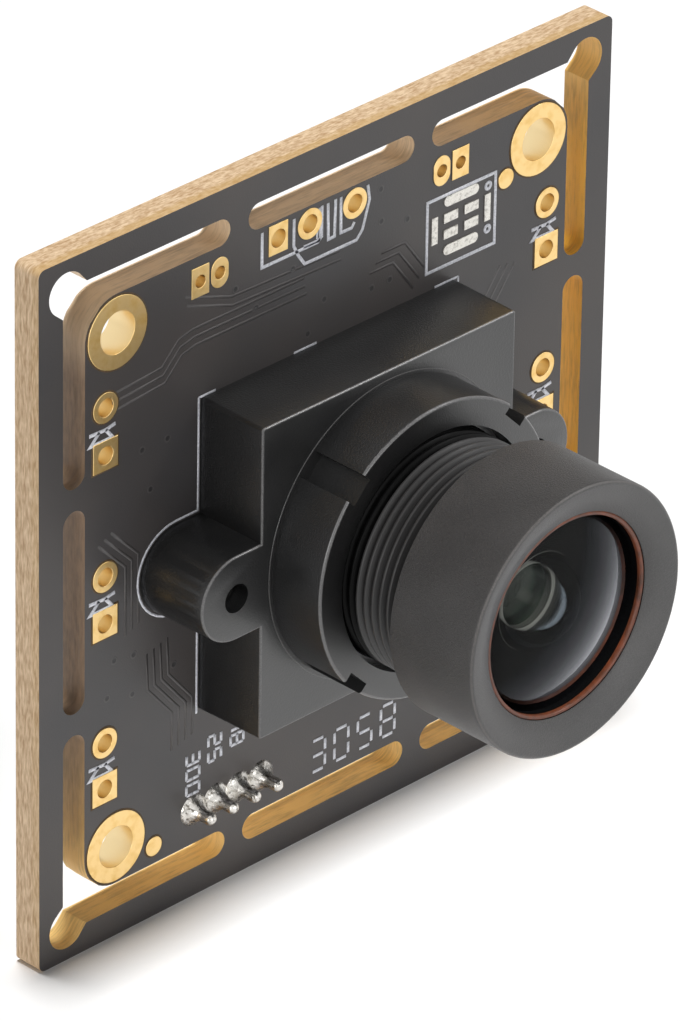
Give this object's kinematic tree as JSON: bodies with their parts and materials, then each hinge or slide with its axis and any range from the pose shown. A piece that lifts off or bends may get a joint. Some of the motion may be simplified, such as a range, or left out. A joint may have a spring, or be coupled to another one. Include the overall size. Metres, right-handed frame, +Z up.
{
  "type": "camera module",
  "caption": "Square board camera: threaded focusing lens in a moulded holder on a circuit board with a snap-off slotted rim and a wire connector behind.",
  "frame": {"origin": "centre of the four mounting holes, on the front face of the board", "axes": "+X to the right seen from the front, +Z up, the lens looks along -Y; the board is upright in the XZ plane"},
  "size_m": [0.038, 0.0239, 0.038],
  "materials": {
    "board_black": "dark solder mask over glass-fibre sheet, tan cut edges",
    "gold_plate": "flat gold plating",
    "tin": "bright solder",
    "holder_black": "moulded black plastic, satin",
    "barrel_black": "black anodised, fine blasted grain",
    "inner_black": "flat black",
    "seal_amber": "amber sealing compound",
    "lens_glass": "coated glass",
    "filter_glass": "blue-green infrared filter",
    "sensor_dark": "sensor package",
    "screw_steel": "zinc-plated steel",
    "connector_white": "natural nylon",
    "chip_black": "moulded chip package",
    "lead_tin": "tinned leads",
    "crystal_steel": "metal lid",
    "ferrite_grey": "ferrite",
    "capacitor_tan": "fired ceramic",
    "resistor_black": "glazed film"
  },
  "bodies": {
    "board": {"circuit_board": "board_black", "mounting_pads": "gold_plate", "header_pads": "gold_plate", "probe_pads": "gold_plate", "link_pads": "gold_plate", "alignment_marks": "gold_plate", "tinned_pads": "tin", "lens_holder": "holder_black", "holder_screws": "screw_steel", "image_sensor": "sensor_dark", "sensor_glass": "lens_glass", "connector_housing": "connector_white", "connector_pins": "lead_tin", "solder_joints": "tin", "video_processor": "chip_black", "processor_leads": "lead_tin", "memory_chip": "chip_black", "memory_leads": "lead_tin", "crystal_can": "crystal_steel", "voltage_regulators": "chip_black", "regulator_leads": "lead_tin", "power_inductor": "ferrite_grey", "capacitor_bodies": "capacitor_tan", "resistor_bodies": "resistor_black", "chip_terminals": "tin"},
    "lens_optics": {"second_element": "lens_glass", "third_element": "lens_glass", "rear_element": "lens_glass"},
    "lens_barrel": {"lens_barrel": "barrel_black", "front_glass": "lens_glass", "seal_ring": "seal_amber", "front_spacer": "inner_black", "element_cell": "inner_black", "aperture_stop": "inner_black", "mid_spacer": "inner_black", "rear_spacer": "inner_black", "rear_retainer": "inner_black", "infrared_filter": "filter_glass"}
  },
  "joints": [
    {"name": "lens_advance", "type": "slide", "parent": "board", "child": "lens_optics", "axis": [0, 1, 0], "range_m": [-0.0015, 0.0015]},
    {"name": "lens_turn", "type": "hinge", "parent": "lens_optics", "child": "lens_barrel", "pos_m": [0, -0.01, -0.00012], "axis": [0, 1, 0], "range_deg": [-1080, 1080]}
  ],
  "couplings": [
    {"joint": "lens_turn", "follows": "lens_advance", "rad_per_m": 12566}
  ]
}
